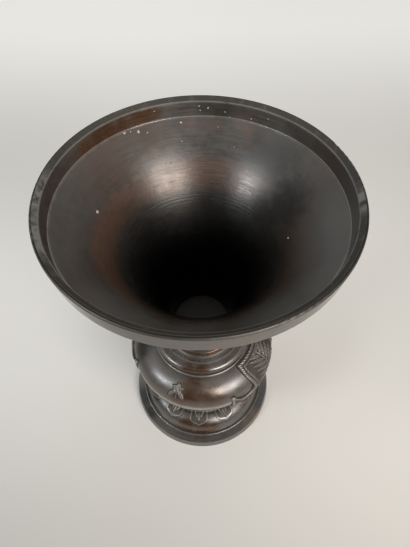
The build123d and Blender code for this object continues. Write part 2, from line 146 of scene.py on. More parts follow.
# Chasing on a panel, with pairs of sizes between which a form fades in
HATCH_PITCH = 1.3 * MM
HATCH_START = (9.0 * MM, 13.0 * MM)
RIB_HALF = 0.6 * MM
RIB_START = (2.0 * MM, 4.0 * MM)
MIDRIB_HALF = 0.22 * MM
LEAF_PAIRS = 9
LEAF_SIDE = 0.4 * MM
LEAF_START = 7.0 * MM             # first pair, down from the panel's top
LEAF_BEARING = radians(-46)
LEAF_SWEEP = radians(4)
LEAF_PITCH = 3.7 * MM
LEAF_LENGTH = 12.5 * MM
LEAF_GROWTH = 0.8 * MM            # from pair to pair
LEAF_WIDTH = 3.3 * MM
BLADE_COUNT = 6
BLADE_SIDE = 5.0 * MM             # root of the blades, beside the rib and up from the tip
BLADE_RISE = 12.5 * MM
BLADE_BEARING = radians(-38)
BLADE_SWEEP = radians(14)
BLADE_LENGTH = 31.0 * MM
BLADE_LOSS = 2.8 * MM             # from blade to blade
BLADE_WIDTH = 3.2 * MM
BLADE_VEINS = 9
PALMETTE_RISE = 12.0 * MM
PALMETTE_SPREAD = radians(58)
PALMETTE_LENGTH = 8.6 * MM
PALMETTE_WIDTH = 3.8 * MM
STRAP_SIDE = (28.0 * MM, 23.0 * MM)
STRAP_RISE = 4.0 * MM
STRIP_HALF = 0.95 * MM
STRIP_EXTRA = 0.5 * MM            # on the strap
NOTCH_PITCH = 2.3 * MM
PEARL_DEPTH = 4.2 * MM            # line of the pearls, in from the edge
PEARL_RADIUS = 0.7 * MM
PEARL_PITCH = 1.9 * MM
LOBE_FIELD = (2.0 * MM, 2.5 * MM)
STRAP_FIELD = (4.7 * MM, 5.2 * MM)
LOBE_END = (32.0 * MM, 38.0 * MM)

# Lappets, drawn from above and pointing towards -Y
LAPPET_COUNT = 12
LAPPET_TURN = radians(17.5)
LAPPET_HALF = 8.55 * MM
LAPPET_ROOT_HALF = 7.35 * MM
LAPPET_ROOT = 37.0 * MM
LAPPET_SIDE = 46.1 * MM
LAPPET_TIP = 52.55 * MM
LAPPET_PULL = 4.5 * MM            # bow of its point
LAPPET_PUSH = 4.9 * MM
LAPPET_RELIEF = 1.1 * MM
LAPPET_FLOOR = 0.6 * MM           # field of the lappet above the cushion
LAPPET_SKIN = 0.03 * MM           # clearance of the carving over the casting
LAPPET_RIB_DEPTH = 0.95 * MM
LAPPET_RIB_HALF = 0.6 * MM
LAPPET_FIELD_FROM = 1.3 * MM
LAPPET_FIELD_TO = 1.6 * MM
LAPPET_BARS = (
    ((-3.6 * MM, -40.5 * MM), (-2.0 * MM, -45.0 * MM)),
    ((3.6 * MM, -40.5 * MM), (2.0 * MM, -45.0 * MM)),
    ((0.0, -42.5 * MM), (0.0, -48.0 * MM)),
)
LAPPET_BAR_HALF = 0.55 * MM
LAPPET_BAR_RISE = 0.5 * MM

# Sprigs on the plain fields
SPRIG_RISE = 13.5 * MM
SPRIG_RELIEF = 1.25 * MM
SPRIG_GROUND = 0.05 * MM
SPRIG_BACK = 0.1 * MM
SPRIG_HALF = 9.0 * MM             # room for the sprig: to each side, above its blossom and below
SPRIG_ABOVE = 7.0 * MM
SPRIG_BELOW = 11.0 * MM
PETAL_COUNT = 5
PETAL_START = 0.5 * MM
PETAL_LENGTH = 4.8 * MM
PETAL_WIDTH = 3.9 * MM
PETAL_VEINS = 2
BOSS_RADIUS = 1.15 * MM
SPRIG_LEAF_SPREAD = radians(42)
SPRIG_LEAF_START = 2.0 * MM
SPRIG_LEAF_LENGTH = 8.2 * MM
SPRIG_LEAF_WIDTH = 3.6 * MM
STALK = ((0.0, 2.0 * MM), (0.3 * MM, 4.0 * MM), (-0.5 * MM, 6.0 * MM), (0.4 * MM, 8.4 * MM))
STALK_HALF = 0.45 * MM
SPRIG_GROUND_SPREAD = 3           # how far the ground shows round the blossom, in steps

# Fineness of the relief
PANEL_STEP = 0.33 * MM
BEAD_STEP = 0.15 * MM
SPRIG_STEP = 0.2 * MM
LAPPET_STEP = 0.2 * MM
CURVE_POINTS = 24
BULB_POINTS = 721

# Places on the castings, each by the pixel of the photograph where it is seen and its reach in millimetres,
# with its strength where that isn't one: red undercoat, painted shade, dust and haze
FUNNEL_RED = (
    (152, 114, 11), (138, 118, 11), (124, 124, 11), (110, 131, 11), (97, 139, 10), (86, 148, 9),
    (112, 166, 38, 0.45), (152, 142, 26, 0.35),
)
# Painted shade in the funnel: darker, less glossy spots round the highlights and towards the throat
FUNNEL_SHADE = (
    (240, 216, 20), (262, 215, 25), (284, 206, 26), (222, 211, 16), (207, 207, 16), (272, 158, 32, 0.4),
    (218, 106, 22, 0.4),
)
FUNNEL_HAZE = (
    (338, 235, 42), (327, 275, 32), (272, 308, 30, 0.85), (200, 324, 20, 0.7), (125, 308, 30, 0.9),
    (165, 123, 15, 0.5), (200, 121, 15, 0.5), (235, 123, 15, 0.5), (276, 136, 13, 0.5),
)
RIM_DUST = ((36, 195, 30), (37, 235, 26), (364, 200, 14))
COLLAR_RED = ((188, 371, 9), (202, 371.5, 9))
BULB_RED = ((192, 391, 18), (212, 397, 16), (178, 401, 11))
# Painted shadow of the lip on the upper left of the bulb
BULB_LIP_SHADOW = ((141, 347, 18),)
FOOT_RED = ((203, 428.5, 15), (187, 425, 12), (214, 428, 9))
# Painted shade on the foot beside and under the bulb, where it mirrors the dark underside
FOOT_SHADE = ((143, 398, 20), (149, 412, 14), (156, 396, 8), (262, 390, 20, 0.6), (258, 403, 12, 0.6))

# Deposits in the funnel, each by the pixel of the photograph where it is seen and its size in millimetres
PALE_SPECKS = (
    (97.7, 211.9, 1.0), (288, 238, 0.6), (124.5, 132.9, 0.8), (130.5, 131.5, 0.4), (138.2, 131.6, 0.9),
    (147.5, 132.6, 0.4), (181, 122.5, 0.55), (218, 127, 0.3), (182, 141, 0.3), (234, 147, 0.3),
    (154.5, 111.2, 0.3), (199, 106, 0.35), (208, 108, 0.5), (200, 110.5, 0.3), (225, 112, 0.35),
    (230, 117, 0.3), (251, 119, 0.35), (268, 119, 0.35),
)
DARK_SPECKS = ((149, 300, 0.5), (166, 163, 0.4), (170.5, 162.5, 0.45))
DARK_SEED = 40
SPECK_RINGS = ((1.0, 0.0), (0.75, 0.22), (0.4, 0.3))  # reach and height, as shares of the size
SPECK_CROWN = 0.32
SPECK_SPOKES = 14
SPECK_RAGGED = 0.3
SPECK_LEAST = 0.4

# Floor and light
FLOOR_HALF = 3.0
LAMP_REACH = 0.42
LAMP_HEIGHT = 0.395
ROOM_SIDES = 0.2
ROOM_OVERHEAD = 0.7
DIM_SIDES = (                     # bearing, rise, reach and what is left of the light
    (radians(-78.5), radians(20), radians(46), 0.25),
    (radians(-71.5), radians(64), radians(30), 0.4),
)


def colour(red, green, blue):
    return (red, green, blue, 1.0)


# Tones of the patina and of what lies on it
GREY_BROWN = colour(0.044, 0.033, 0.026)
WARM_BROWN = colour(0.057, 0.044, 0.034)
PALE_BROWN = colour(0.056, 0.046, 0.037)
DUSTY_BROWN = colour(0.08, 0.067, 0.055)
# Darker tone of the floor plate, painted shade for the bottom of the throat
PLATE_SHADE_BROWN = colour(0.03, 0.025, 0.02)
RED_BROWN = colour(0.085, 0.043, 0.021)
COPPER_BROWN = colour(0.118, 0.051, 0.021)
VERDIGRIS = colour(0.036, 0.041, 0.033)
TURNING_MARKS = colour(0.15, 0.125, 0.105)
DARK_SPECKLE = colour(0.012, 0.01, 0.008)
HAZE = colour(0.13, 0.13, 0.125)
# Tone of painted shade
SHADE_TONE = colour(0.014, 0.016, 0.015)
# Tone of the painted shade deep inside the funnel
DEPTH_SHADE_TONE = colour(0.02, 0.021, 0.021)
DULL_BROWN = colour(0.06, 0.055, 0.045)
DULL_GREEN = colour(0.12, 0.122, 0.1)
DUST = colour(0.22, 0.218, 0.2)
# Tone of painted shade on the outer round of the rim
RIM_SHADE_TONE = colour(0.024, 0.02, 0.016)
BARE_BRONZE = colour(0.34, 0.29, 0.24)
RUBBED = colour(0.3, 0.285, 0.265)
# Copper tints on the neck's bead and edge: painted warm reflection
COPPER_SHEEN = colour(0.1, 0.055, 0.034)
COPPER_GLINT = colour(0.36, 0.27, 0.2)
BRIGHT_EDGE = colour(0.42, 0.41, 0.39)
HOLLOW_TONES = (colour(0.028, 0.023, 0.019), colour(0.064, 0.044, 0.031))
RAISED_TONES = (colour(0.075, 0.058, 0.046), colour(0.12, 0.096, 0.078))
WIRE_TONES = (colour(0.18, 0.12, 0.075), colour(0.3, 0.21, 0.13))
SOLDER_TONES = (colour(0.2, 0.2, 0.19), colour(0.36, 0.35, 0.34))
LIME_TONES = (colour(0.5, 0.49, 0.45), colour(0.75, 0.73, 0.68))
CRUST_TONES = (colour(0.012, 0.01, 0.009), colour(0.04, 0.03, 0.025))

# Tones of the floor and the room
# Paper painted darker at the front and on the right as painted shade; a painted glow lifts the far end
FRONT_PAPER_SHADE = colour(0.56, 0.55, 0.528)
LEFT_PAPER = colour(0.88, 0.872, 0.845)
RIGHT_PAPER_SHADE = colour(0.82, 0.807, 0.777)
PAPER_GRAIN = colour(0.5, 0.49, 0.46)
PAPER_PAINTED_GLOW = colour(1.0, 0.99, 0.95)
ROOM_TINT = colour(1.0, 0.985, 0.95)

# Finish of the patina
LACQUER_INDEX = 2.26              # gloss of the wax
WORN_EDGE = 0.9 * MM
MARK_ROUND = 1.6                  # turning marks: round the axis, and up the profile for each metre
MARK_CLIMB = 420.0
MARK_LEAN = 0.8


# Camera and what it sees
def make_camera():
    """Camera with the photograph's lens, where the photograph was taken from."""
    ahead = Vector((
        sin(CAMERA_YAW) * cos(CAMERA_PITCH), cos(CAMERA_YAW) * cos(CAMERA_PITCH), -sin(CAMERA_PITCH)))
    level_right = Vector((cos(CAMERA_YAW), -sin(CAMERA_YAW), 0))
    level_up = level_right.cross(ahead)
    right = level_right * cos(CAMERA_ROLL) + level_up * sin(CAMERA_ROLL)
    up = level_up * cos(CAMERA_ROLL) - level_right * sin(CAMERA_ROLL)
    around = Matrix.Rotation(VIEW_TURN, 4, "Z")
    stand = Matrix.Translation((CAMERA_SIDE, -CAMERA_BACK, CAMERA_HEIGHT))
    aim = Matrix((right, up, -ahead)).transposed().to_4x4()
    data = bpy.data.cameras.new("camera")
    data.sensor_width = SENSOR
    data.lens = FOCAL_PIXELS / IMAGE_HEIGHT * SENSOR
    made = bpy.data.objects.new("camera", data)
    made.matrix_world = around @ stand @ aim
    bpy.context.scene.collection.objects.link(made)
    bpy.context.scene.camera = made
    return made


camera = make_camera()


@lru_cache
def faces_of(node):
    """Faces of a casting, ready to be searched."""
    mesh = nodes[node].data
    return BVHTree.FromPolygons(
        [vertex.co for vertex in mesh.vertices], [polygon.vertices for polygon in mesh.polygons])


def seen_on(node, column, row):
    """Point and normal on a casting under a pixel of the photograph."""
    view = Vector((column - IMAGE_WIDTH / 2, IMAGE_HEIGHT / 2 - row, -FOCAL_PIXELS))
    start = camera.matrix_world.translation
    point, normal, _, _ = faces_of(node).ray_cast(start, camera.matrix_world.to_3x3() @ view)
    return point, normal


def places_on(node, spots):
    """Places on a casting under pixels of the photograph: centre, normal, reach and strength."""
    places = []
    for column, row, reach, *strength in spots:
        point, normal = seen_on(node, column, row)
        places.append((tuple(point), tuple(normal), reach * MM, strength[0] if strength else 1.0))
    return places


# Shader nodes
class Graph:
    """Builds the nodes of one material or world, with values and links given together."""

    def __init__(self, owner):
        self.owner = owner
        owner.use_nodes = True
        self.tree = owner.node_tree
        self.tree.nodes.clear()

    def make(self, kind, inputs=None, **settings):
        """Add a node, set its options and fill its inputs with values or links."""
        made = self.tree.nodes.new(kind)
        for option, value in settings.items():
            setattr(made, option, value)
        for key, value in (inputs or {}).items():
            if isinstance(value, bpy.types.NodeSocket):
                self.tree.links.new(value, made.inputs[key])
            else:
                made.inputs[key].default_value = value
        return made

    def math(self, operation, first, second=0.0, third=0.0):
        values = {0: first, 1: second, 2: third}
        return self.make("ShaderNodeMath", values, operation=operation).outputs[0]

    def plus(self, first, second):
        return self.math("ADD", first, second)

    def times(self, first, second):
        return self.math("MULTIPLY", first, second)

    def most(self, first, second):
        return self.math("MAXIMUM", first, second)

    def rest(self, share):
        """What a share leaves of one."""
        return self.math("SUBTRACT", 1.0, share)

    def measure(self, operation, first, second):
        """Number worked out from two vectors."""
        made = self.make("ShaderNodeVectorMath", {0: first, 1: second}, operation=operation)
        return made.outputs["Value"]

    def dot(self, first, second):
        return self.measure("DOT_PRODUCT", first, second)

    def ramp(self, factor, low, high, to_low=0.0, to_high=1.0):
        """Smooth step from one value to another."""
        inputs = {
            "Value": factor, "From Min": low, "From Max": high, "To Min": to_low, "To Max": to_high,
        }
        step = self.make("ShaderNodeMapRange", inputs, interpolation_type="SMOOTHSTEP")
        return step.outputs["Result"]

    def band(self, value, centre, half_width):
        """One along a line at a value, fading to zero beside it."""
        away = self.math("ABSOLUTE", self.math("SUBTRACT", value, centre))
        return self.ramp(away, half_width, half_width * 0.3)

    def mix(self, factor, first, second):
        """Mix two colours."""
        return self.make("ShaderNodeMix", {0: factor, 6: first, 7: second}, data_type="RGBA").outputs[2]

    def noise(self, vector, scale, detail, roughness=0.55):
        inputs = {"Vector": vector, "Scale": scale, "Detail": detail, "Roughness": roughness}
        return self.make("ShaderNodeTexNoise", inputs).outputs[0]

    def bump(self, relief, strength, distance):
        inputs = {"Strength": strength, "Distance": distance, "Height": relief}
        return self.make("ShaderNodeBump", inputs).outputs[0]

    def surface(self, inputs):
        """Close a material with its shader."""
        shader = self.make("ShaderNodeBsdfPrincipled", inputs)
        self.make("ShaderNodeOutputMaterial", {"Surface": shader.outputs[0]})
        return self.owner


class Casting(Graph):
    """Dark patinated bronze, turned on the lathe and handled, built up coat by coat."""

    def __init__(self, name):
        super().__init__(bpy.data.materials.new(name))
        self.place = self.make("ShaderNodeTexCoord").outputs["Object"]
        across, depth, self.height = self.make("ShaderNodeSeparateXYZ", {0: self.place}).outputs
        self.radius = self.math("SQRT", self.plus(self.times(across, across), self.times(depth, depth)))
        self.safe_radius = self.most(self.radius, MM)
        self.flat = self.make("ShaderNodeNewGeometry").outputs["Normal"]
        spoke = self.make("ShaderNodeCombineXYZ", {0: across, 1: depth}).outputs[0]
        self.inward = self.ramp(self.dot(self.flat, spoke), 0.0, -2 * MM)
        turned = self.make("ShaderNodeCombineXYZ", {
            0: self.times(self.math("DIVIDE", across, self.safe_radius), MARK_ROUND),
            1: self.times(self.math("DIVIDE", depth, self.safe_radius), MARK_ROUND),
            2: self.times(self.plus(self.times(self.radius, MARK_LEAN), self.height), MARK_CLIMB),
        }).outputs[0]
        self.mottle = self.noise(self.place, scale=160.0, detail=6.0, roughness=0.65)
        self.marks = self.noise(turned, scale=2.0, detail=6.0, roughness=0.7)
        self.speckle = self.noise(self.place, scale=900.0, detail=3.0, roughness=0.6)
        self.tone = None
        self.metal = 0.0

    def lay(self, share, tone):
        """Lay a tone over those below it."""
        self.tone = self.mix(share, self.tone, tone)

    def strip(self, share):
        """Leave at least this share without wax."""
        self.metal = self.most(self.metal, share)

    def spots(self, places):
        """Share of soft spots with ragged edges, each on the faces that look the same way as its middle."""
        share = 0.0
        for centre, facing, reach, strength in places:
            away = self.measure("DISTANCE", self.place, centre)
            away = self.plus(away, self.math("MULTIPLY_ADD", self.mottle, reach * 0.4, -reach * 0.2))
            spot = self.times(self.ramp(away, reach, reach * 0.2, 0.0, strength),
                              self.ramp(self.dot(self.flat, facing), -0.1, 0.2))
            share = self.most(share, spot)
        return share

    def belt_inside(self, height, half_width, bearing):
        """Share of a ragged belt round the inside, strongest at one bearing."""
        lee = self.math("DIVIDE", self.dot(self.place, (cos(bearing), sin(bearing), 0)), self.safe_radius)
        shows = self.times(self.band(self.height, height, half_width), self.ramp(lee, -0.8, 0.6, 0.3, 1.0))
        shows = self.times(shows, self.ramp(self.mottle, 0.2, 0.6, 0.7, 1.0))
        return self.times(shows, self.inward)

    def coat(self, brown, red, red_share, streak, reddened, undercoat):
        """Broad clouds of brown, a redder undercoat that shows through, verdigris and turning marks."""
        clouds = self.noise(self.place, scale=21.0, detail=5.0)
        thin = self.ramp(clouds, 0.62 - red_share * 0.2, 0.78 - red_share * 0.2)
        thin = self.most(thin, reddened)
        if undercoat:
            thin = self.most(thin, self.belt_inside(*undercoat))
        dark = colour(*(channel * 0.6 for channel in brown[:3]))
        self.tone = self.mix(self.ramp(self.mottle, 0.3, 0.72), dark, brown)
        green = self.noise(self.place, scale=34.0, detail=6.0, roughness=0.6)
        self.lay(self.ramp(green, 0.5, 0.7, 0.0, 0.45), VERDIGRIS)
        self.lay(thin, red)
        self.lay(self.ramp(self.marks, 0.45, 0.75, 0.0, streak * 0.4), TURNING_MARKS)
        self.lay(self.ramp(self.speckle, 0.58, 0.76, 0.0, 0.6), DARK_SPECKLE)

    def upward(self):
        return self.dot(self.flat, (0, 0, 1))

    def wear(self, share, bare, shade_share, dull):
        """Rub the edges, found by rounding the shading normal and broken up by the mottle."""
        rounded = self.make("ShaderNodeBevel", {"Radius": WORN_EDGE}, samples=4).outputs[0]
        edge = self.ramp(self.dot(rounded, self.flat), 0.985, 0.9, 0.0, share)
        edge = self.times(self.times(edge, self.rest(shade_share)), self.rest(dull))
        rubbed = self.times(edge, self.ramp(self.mottle, 0.25, 0.6))
        self.lay(rubbed, BARE_BRONZE)
        self.strip(self.math("MULTIPLY_ADD", rubbed, 0.8 - bare, bare))
        return rubbed

    def dull_top(self, dull, shade_radius, dusty):
        """Dull the top of the rim, with dust on it and painted shade along its outer edge, on faces that
        look up.
        """
        dust = self.times(self.spots(dusty), self.ramp(self.mottle, 0.3, 0.6))
        grime = self.mix(self.ramp(self.mottle, 0.52, 0.7), DULL_BROWN, DULL_GREEN)
        self.lay(self.times(dull, 0.8), self.mix(dust, grime, DUST))
        self.strip(self.times(dull, self.ramp(dust, 0.0, 1.0, 0.6, 0.0)))
        # Painted shade: faces that look up on the rim's outer round are darkened and stripped of their
        # reflection
        outer = self.ramp(self.radius, shade_radius, shade_radius + RIM_SHADE_EDGE)
        crown = self.times(self.ramp(self.upward(), 0.62, 0.85, 0.0, 0.92), self.times(dull, outer))
        self.lay(crown, RIM_SHADE_TONE)
        self.strip(crown)

    def rub_line(self, radius, height, half_width, tone):
        """Rub a turned edge brighter."""
        near = self.times(self.band(self.radius, radius, half_width),
                          self.band(self.height, height, half_width))
        near = self.times(near, self.ramp(self.mottle, 0.2, 0.55))
        self.lay(near, tone)
        self.strip(self.times(near, 0.8))

    def gloss(self, roughness, rubbed, reddened, dull):
        """Roughness that varies with the marks and rubbed places, and is crisper towards the outline."""
        gloss = self.plus(self.ramp(self.marks, 0.25, 0.75, roughness - 0.07, roughness + 0.07),
                          self.ramp(self.mottle, 0.3, 0.8, -0.03, 0.05))
        smoother = self.plus(self.times(rubbed, 0.08), self.times(reddened, 0.1))
        gloss = self.math("SUBTRACT", gloss, smoother)
        facing = self.make("ShaderNodeLayerWeight", {"Blend": 0.5}).outputs["Facing"]
        gloss = self.plus(gloss, self.ramp(facing, 0.7, 0.97, 0.0, -0.22))
        return self.math("MULTIPLY_ADD", dull, 0.15, gloss)

    def roughened(self, grooves):
        """Shading normal with the marks, speckle and mottle in it, and fine turned grooves."""
        relief = self.plus(self.times(self.marks, 0.6), self.times(self.speckle, 0.5))
        relief = self.plus(relief, self.times(self.mottle, 0.6))
        for groove in grooves:
            relief = self.math("MULTIPLY_ADD", self.band(self.height, groove, GROOVE_HALF), -0.8, relief)
        return self.bump(relief, strength=0.16, distance=0.15 * MM)


def patina(name, brown, red, roughness, red_share, streak, wear, bare=0.0, patches=(), shaded=(), hazy=(),
           undercoat=None, belt=None, depth_shade=None, rim=None, dusty=(), lines=(), grooves=()):
    """Material of a casting.

    Red share, streak and wear say how much of the undercoat, the turning marks and rubbed edges shows.
    Patches are (centre, normal, reach, strength) of places where the red undercoat shows, shaded of places
    painted darker and less glossy as painted shade, hazy of places under thin dust and dusty of places
    where dust lies on the rim.
    Undercoat is the height, half width and strongest bearing of a belt inside where the undercoat shows
    too, and belt is the height and half width of a belt painted paler as a painted reflection. Depth shade
    gives the heights between which an inside is painted darker as painted shade. Rim gives the heights
    between which faces that look up grow dull and the radius from which they are painted dark as painted
    shade. Lines are (radius, height, half width, colour) of turned edges that are rubbed brighter, and at
    the neck of a painted warm reflection; grooves are the heights of fine turned grooves, and bare is the
    share without wax.
    """
    casting = Casting(name)
    reddened = casting.spots(patches)
    shade_share = casting.spots(shaded)
    casting.coat(brown, red, red_share, streak, reddened, undercoat)
    casting.strip(casting.times(reddened, 0.45))
    # Painted reflection: a paler belt round the bulb, broken up by the mottle
    if belt:
        broken = casting.ramp(casting.mottle, 0.2, 0.6, 0.3, 0.8)
        casting.lay(casting.times(casting.band(casting.height, *belt), broken), RUBBED)
    casting.lay(casting.times(casting.spots(hazy), 0.56), HAZE)
    # Painted shade: darker, less waxed spots
    casting.lay(casting.times(shade_share, 0.85), SHADE_TONE)
    casting.strip(casting.times(shade_share, 0.6))
    # Painted shade: the inside grows darker and loses its reflection with depth
    if depth_shade:
        deep_shade = casting.times(casting.ramp(casting.height, *depth_shade), casting.inward)
        casting.lay(deep_shade, DEPTH_SHADE_TONE)
        casting.strip(casting.times(deep_shade, 0.95))
    dull = 0.0
    if rim:
        dull_from, dull_to, shade_radius = rim
        dull = casting.times(casting.ramp(casting.height, dull_from, dull_to),
                             casting.ramp(casting.upward(), 0.1, 0.4))
    rubbed = casting.wear(wear, bare, shade_share, dull)
    if rim:
        casting.dull_top(dull, shade_radius, dusty)
    for line in lines:
        casting.rub_line(*line)
    return casting.surface({
        "Base Color": casting.tone, "Metallic": casting.metal, "IOR": LACQUER_INDEX,
        "Roughness": casting.gloss(roughness, rubbed, reddened, dull),
        "Normal": casting.roughened(grooves),
    })


def chased(name):
    """Chased relief: dark in the hollows, rubbed paler on the high points."""
    graph = Graph(bpy.data.materials.new(name))
    place = graph.make("ShaderNodeTexCoord").outputs["Object"]
    high = graph.make("ShaderNodeAttribute", attribute_name="relief").outputs["Fac"]
    mottle = graph.noise(place, scale=220.0, detail=6.0, roughness=0.65)
    grain = graph.make("ShaderNodeTexVoronoi", {"Vector": place, "Scale": 1500.0}).outputs["Distance"]
    cloudy = graph.ramp(mottle, 0.35, 0.7)
    hollow = graph.mix(cloudy, *HOLLOW_TONES)
    raised = graph.mix(cloudy, *RAISED_TONES)
    tone = graph.mix(graph.ramp(high, 0.15, 0.75), hollow, raised)
    worn = graph.times(graph.ramp(high, 0.82, 1.0), graph.ramp(mottle, 0.3, 0.6))
    relief = graph.plus(graph.times(grain, 0.7), graph.times(mottle, 0.6))
    return graph.surface({
        "Base Color": graph.mix(worn, tone, BARE_BRONZE), "IOR": LACQUER_INDEX,
        "Metallic": graph.most(graph.times(worn, 0.8), graph.ramp(high, 0.45, 0.1, 0.0, 0.6)),
        "Roughness": graph.ramp(high, 0.2, 1.0, 0.55, 0.33),
        "Normal": graph.bump(relief, strength=0.25, distance=0.15 * MM),
    })


def grainy(name, tones, scale, roughness, metallic):
    """Small or hidden surfaces: two tones in a fine grain."""
    graph = Graph(bpy.data.materials.new(name))
    place = graph.make("ShaderNodeTexCoord").outputs["Object"]
    grain = graph.noise(place, scale, detail=6.0, roughness=0.65)
    return graph.surface({
        "Base Color": graph.mix(graph.ramp(grain, 0.35, 0.65), *tones), "Metallic": metallic,
        "Roughness": graph.ramp(grain, 0.3, 0.7, roughness - 0.06, roughness + 0.06),
        "Normal": graph.bump(grain, strength=0.3, distance=0.2 * MM),
    })


# Castings keep their CAD shape and take a patina each
def dress(node, material):
    """Give a casting its material."""
    slots = nodes[node].data.materials
    slots.clear()
    slots.append(material)


dress("mouth_trumpet", patina(
    "bronze_trumpet", GREY_BROWN, COPPER_BROWN, roughness=0.372, red_share=0.15, streak=0.5, wear=0.6,
    patches=places_on("mouth_trumpet", FUNNEL_RED), shaded=places_on("mouth_trumpet", FUNNEL_SHADE),
    hazy=places_on("mouth_trumpet", FUNNEL_HAZE), dusty=places_on("mouth_trumpet", RIM_DUST),
    undercoat=(UNDERCOAT_HEIGHT, UNDERCOAT_HALF, UNDERCOAT_BEARING), depth_shade=(DEPTH_SHADE_FROM, DEPTH_SHADE_TO),
    rim=(RIM_DULL_FROM, RIM_DULL_TO, RIM_SHADE_RADIUS), grooves=FUNNEL_GROOVES,
    lines=(
        (*LIP_EDGE, RUBBED), (*FUNNEL_EDGE, RUBBED), (*NECK_BEAD, COPPER_SHEEN), (*NECK_GLINT, COPPER_GLINT),
    )))
dress("neck_collar", patina(
    "bronze_collar", DUSTY_BROWN, RED_BROWN, roughness=0.3, red_share=0.2, streak=0.25, wear=0.2,
    patches=places_on("neck_collar", COLLAR_RED), lines=((*COLLAR_EDGE, BRIGHT_EDGE),)))
dress("bulb_body", patina(
    "bronze_bulb", WARM_BROWN, RED_BROWN, roughness=0.38, red_share=0.15, streak=0.4, wear=0.5,
    patches=places_on("bulb_body", BULB_RED), shaded=places_on("bulb_body", BULB_LIP_SHADOW),
    belt=(BULB_SHEEN_HEIGHT, BULB_SHEEN_HALF), lines=((*SHOULDER_EDGE, RUBBED),)))
dress("bell_foot", patina(
    "bronze_foot", PALE_BROWN, RED_BROWN, roughness=0.33, red_share=0.2, streak=0.4, wear=0.5,
    patches=places_on("bell_foot", FOOT_RED), shaded=places_on("bell_foot", FOOT_SHADE),
    lines=((*LEDGE_EDGE, RUBBED),)))
# The plate's dark tone is painted shade for the bottom of the throat
dress("floor_plate", patina(
    "bronze_plate", PLATE_SHADE_BROWN, RED_BROWN, roughness=0.55, red_share=0.1, streak=0.2, wear=0.4, bare=0.8))
pin_wire = grainy("bronze_pin_wire", WIRE_TONES, scale=400.0, roughness=0.4, metallic=1.0)
for pin_node in ("panel_pegs", "neck_pins", "foot_pins"):
    dress(pin_node, pin_wire)
dress("floor_solder", grainy("solder_grey", SOLDER_TONES, scale=300.0, roughness=0.5, metallic=1.0))
relief_bronze = chased("bronze_relief_chased")


# Outlines and distances for the relief
def bezier(start, pull, push, end):
    """Points along a cubic curve."""
    share = np.linspace(0, 1, CURVE_POINTS)[:, None]
    left = 1 - share
    start, pull, push, end = (np.array(point) for point in (start, pull, push, end))
    ends = left ** 3 * start + share ** 3 * end
    return ends + 3 * left ** 2 * share * pull + 3 * left * share ** 2 * push


def mirrored(half):
    """Closed outline from its right half."""
    return np.vstack([half, half[::-1] * (-1, 1)])


def grid(across, along, step):
    """Grid of points over two ranges."""
    return np.meshgrid(np.arange(*across, step), np.arange(*along, step))


def path_distance(x, y, path):
    """Distance of each point from an open path."""
    nearest = np.full(x.shape, np.inf)
    for (x0, y0), (x1, y1) in zip(path[:-1], path[1:]):
        run_x, run_y = x1 - x0, y1 - y0
        length = max(run_x ** 2 + run_y ** 2, 1e-18)
        along = np.clip(((x - x0) * run_x + (y - y0) * run_y) / length, 0, 1)
        nearest = np.minimum(nearest, np.hypot(x - x0 - along * run_x, y - y0 - along * run_y))
    return nearest


def depth_inside(x, y, outline):
    """Distance in from a closed outline, negative outside it."""
    closed = np.vstack([outline, outline[:1]])
    inside = np.zeros(x.shape, bool)
    for (x0, y0), (x1, y1) in zip(closed[:-1], closed[1:]):
        spans = (y0 > y) != (y1 > y)
        if y0 != y1:
            inside ^= spans & (x < x0 + (y - y0) * (x1 - x0) / (y1 - y0))
    return np.where(inside, 1, -1) * path_distance(x, y, closed)


def smooth(value, low, high):
    """Smooth step between two values."""
    share = np.clip((value - low) / (high - low), 0, 1)
    return share * share * (3 - 2 * share)


def dome(distance):
    """Half round: one in the middle, zero at a distance of one."""
    return np.sqrt(np.clip(1 - distance ** 2, 0, 1))


def leaf(x, y, base, bearing, length, width, veins=5):
    """Pointed leaf with a midrib and slanting veins; one at the crown, zero outside."""
    along = ((x - base[0]) * cos(bearing) + (y - base[1]) * sin(bearing)) / length
    aside = np.abs((y - base[1]) * cos(bearing) - (x - base[0]) * sin(bearing))
    reach = width / 2 * np.sin(pi * np.clip(along, 0, 1) ** 0.8)
    body = dome(aside / np.maximum(reach, 1e-6))
    body[(along <= 0) | (along >= 1)] = 0
    midrib = np.exp(-(aside / MIDRIB_HALF) ** 2)
    ribs = 0.5 + 0.5 * np.cos(2 * pi * veins * (along - aside / length * 0.9))
    return body * (0.72 + 0.2 * ribs - 0.35 * midrib)


# Meshes of the relief
def pulled_in(points, depth):
    """Grid of points, with those outside the line where depth is zero pulled in towards it."""
    slope_rows, slope_columns = np.gradient(depth)
    steepness = np.maximum(slope_rows ** 2 + slope_columns ** 2, 1e-12)
    outside = depth < 0
    move_rows = np.where(outside, np.clip(-depth * slope_rows / steepness, -1, 1), 0)
    move_columns = np.where(outside, np.clip(-depth * slope_columns / steepness, -1, 1), 0)
    slide_rows = np.gradient(points, axis=0)
    slide_columns = np.gradient(points, axis=1)
    return points + slide_rows * move_rows[..., None] + slide_columns * move_columns[..., None]


def open_sides(quads):
    """Sides that belong to one quad only."""
    sides = {}
    for quad in quads:
        for first, second in zip(quad, quad[1:] + quad[:1]):
            sides[first, second] = (second, first) not in sides
            if (second, first) in sides:
                sides[second, first] = False
    return [side for side, single in sides.items() if single]


